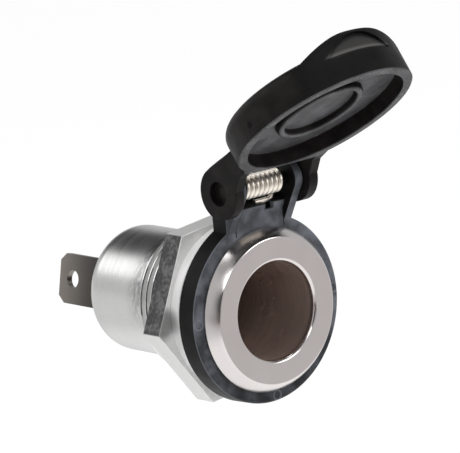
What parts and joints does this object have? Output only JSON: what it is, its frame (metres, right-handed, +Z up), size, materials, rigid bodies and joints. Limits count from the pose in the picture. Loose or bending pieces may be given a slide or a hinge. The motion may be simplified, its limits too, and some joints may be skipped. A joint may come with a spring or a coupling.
{
  "type": "panel-mount power socket",
  "caption": "Panel-mount low-voltage power socket: metal shell with a plug bore, sprung hinged lid on a moulded ring, clamp washer, hex nut and flat rear terminals.",
  "frame": {"origin": "on the socket's axis, at the base ring's rear face, which seats on the panel", "axes": "+Z up towards the hinge, Y along the socket's axis with the mouth towards -Y, X along the hinge pin"},
  "size_m": [0.0244, 0.0579, 0.0468],
  "materials": {
    "polished_plating": "polished nickel plate with fine turning marks",
    "satin_plating": "satin nickel plate",
    "spring_steel": "drawn bright steel",
    "blade_plating": "dull plated brass",
    "contact_brass": "plain turned brass",
    "black_moulding": "black moulding, slightly grained",
    "brown_insulator": "brown laminate"
  },
  "bodies": {
    "socket": {"shell": "polished_plating", "base_ring": "black_moulding", "hinge_pin": "spring_steel", "lid_spring": "spring_steel", "contact_carrier": "brown_insulator", "centre_contact": "contact_brass", "contact_rivet": "contact_brass", "rivet_washer": "satin_plating", "rear_insulator": "brown_insulator", "positive_blade": "blade_plating", "ground_blade": "blade_plating"},
    "lid": {"lid": "black_moulding"},
    "washer": {"clamp_washer": "satin_plating"},
    "nut": {"hex_nut": "satin_plating"}
  },
  "joints": [
    {"name": "lid_hinge", "type": "hinge", "parent": "socket", "child": "lid", "pos_m": [0, -0.0033, 0.0155], "axis": [1, 0, 0], "range_deg": [-10, 125.5], "deforming": ["lid_spring"]},
    {"name": "washer_slide", "type": "slide", "parent": "socket", "child": "washer", "axis": [0, 1, 0], "range_m": [-0.0016, 0.0045]},
    {"name": "nut_spin", "type": "hinge", "parent": "washer", "child": "nut", "pos_m": [0, 0, 0], "axis": [0, 1, 0], "range_deg": [-576, 1620]}
  ],
  "couplings": [
    {"joint": "washer_slide", "follows": "nut_spin", "m_per_rad": 0.00015915}
  ]
}
